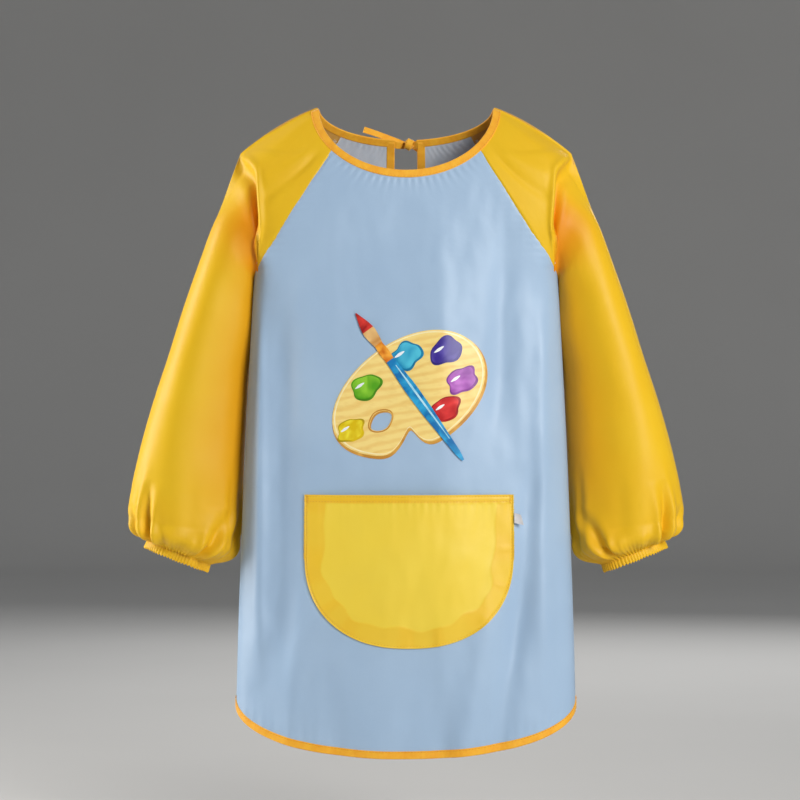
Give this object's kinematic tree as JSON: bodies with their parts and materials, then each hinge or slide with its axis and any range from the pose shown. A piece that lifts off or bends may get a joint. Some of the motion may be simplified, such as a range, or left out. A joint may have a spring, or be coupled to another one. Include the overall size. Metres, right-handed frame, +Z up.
{
  "type": "artist smock apron",
  "caption": "Child's long-sleeved painting smock with raglan sleeves, elastic cuffs, bound edges, a rounded patch pocket and a tie-back opening.",
  "frame": {"origin": "under the middle of the smock, at the height of the lowest point of the hem", "axes": "+Z up, +X towards the wearer's left, the front of the smock faces -Y"},
  "size_m": [0.554, 0.1065, 0.654],
  "materials": {
    "body_fabric": "satin, water-repellent woven polyester, pale silver blue",
    "sleeve_fabric": "satin, water-repellent woven polyester, golden yellow",
    "pocket_fabric": "satin woven polyester, light golden yellow",
    "binding_tape": "matt folded bias binding, orange yellow",
    "elastic": "matt knitted white elastic",
    "white_tape": "satin white woven tape, blank",
    "print_wood": "satin screen-printed film, wood colour with paint dabs",
    "print_brush": "satin screen-printed film, blue"
  },
  "bodies": {
    "smock": {"front_panel": "body_fabric", "neck_binding": "binding_tape", "hem_binding": "binding_tape", "neck_knot": "binding_tape", "palette_print": "print_wood", "brush_print": "print_brush", "sleeve_cap_right": "sleeve_fabric", "back_panel_right": "body_fabric", "yoke_edge_binding_right": "binding_tape", "sleeve_cap_left": "sleeve_fabric", "back_panel_left": "body_fabric", "yoke_edge_binding_left": "binding_tape"},
    "sleeve_right": {"sleeve_upper_right": "sleeve_fabric"},
    "forearm_right": {"sleeve_forearm_right": "sleeve_fabric", "cuff_casing_right": "sleeve_fabric", "cuff_elastic_right": "elastic"},
    "flap_right": {"back_flap_right": "body_fabric", "flap_edge_binding_right": "binding_tape"},
    "waist_tie_right": {"waist_tie_right": "binding_tape"},
    "neck_tie_right": {"neck_tie_right": "binding_tape"},
    "sleeve_left": {"sleeve_upper_left": "sleeve_fabric"},
    "forearm_left": {"sleeve_forearm_left": "sleeve_fabric", "cuff_casing_left": "sleeve_fabric", "cuff_elastic_left": "elastic"},
    "flap_left": {"back_flap_left": "body_fabric", "flap_edge_binding_left": "binding_tape"},
    "waist_tie_left": {"waist_tie_left": "binding_tape"},
    "neck_tie_left": {"neck_tie_left": "binding_tape"},
    "pocket": {"pocket": "pocket_fabric"},
    "tag": {"pocket_tag": "white_tape"}
  },
  "joints": [
    {"name": "right_sleeve_raise", "type": "hinge", "parent": "smock", "child": "sleeve_right", "pos_m": [-0.163, 0, 0.605], "axis": [0, 1, 0], "range_deg": [0, 60]},
    {"name": "right_elbow_fold", "type": "hinge", "parent": "sleeve_right", "child": "forearm_right", "pos_m": [-0.201, 0.006, 0.3925], "axis": [-0.9864, 0, 0.1644], "range_deg": [0, 80]},
    {"name": "right_flap_open", "type": "hinge", "parent": "smock", "child": "flap_right", "pos_m": [-0.128, 0.03737, 0.225], "axis": [0, -0.0188, 0.9998], "range_deg": [0, 110]},
    {"name": "right_waist_tie_swing", "type": "hinge", "parent": "flap_right", "child": "waist_tie_right", "pos_m": [-0.01903, 0.04994, 0.36], "axis": [0, 1, 0], "range_deg": [0, 35]},
    {"name": "right_neck_tie_swing", "type": "hinge", "parent": "smock", "child": "neck_tie_right", "pos_m": [-0.001, 0.03453, 0.617], "axis": [0, 1, 0], "range_deg": [-25, 50]},
    {"name": "left_sleeve_raise", "type": "hinge", "parent": "smock", "child": "sleeve_left", "pos_m": [0.163, 0, 0.605], "axis": [0, -1, 0], "range_deg": [0, 60]},
    {"name": "left_elbow_fold", "type": "hinge", "parent": "sleeve_left", "child": "forearm_left", "pos_m": [0.201, 0.006, 0.3925], "axis": [-0.9864, 0, -0.1644], "range_deg": [0, 80]},
    {"name": "left_flap_open", "type": "hinge", "parent": "smock", "child": "flap_left", "pos_m": [0.128, 0.03737, 0.225], "axis": [0, 0.0188, -0.9998], "range_deg": [0, 110]},
    {"name": "left_waist_tie_swing", "type": "hinge", "parent": "flap_left", "child": "waist_tie_left", "pos_m": [0.01903, 0.04994, 0.36], "axis": [0, -1, 0], "range_deg": [0, 35]},
    {"name": "left_neck_tie_swing", "type": "hinge", "parent": "smock", "child": "neck_tie_left", "pos_m": [0.007, 0.03453, 0.617], "axis": [0, -1, 0], "range_deg": [0, 80]},
    {"name": "pocket_mouth_open", "type": "hinge", "parent": "smock", "child": "pocket", "pos_m": [0.003, -0.05143, 0.111], "axis": [1, 0, 0], "range_deg": [0, 12]},
    {"name": "tag_flip", "type": "hinge", "parent": "smock", "child": "tag", "pos_m": [0.108, -0.04506, 0.24], "axis": [0, 0, -1], "range_deg": [0, 85]}
  ]
}
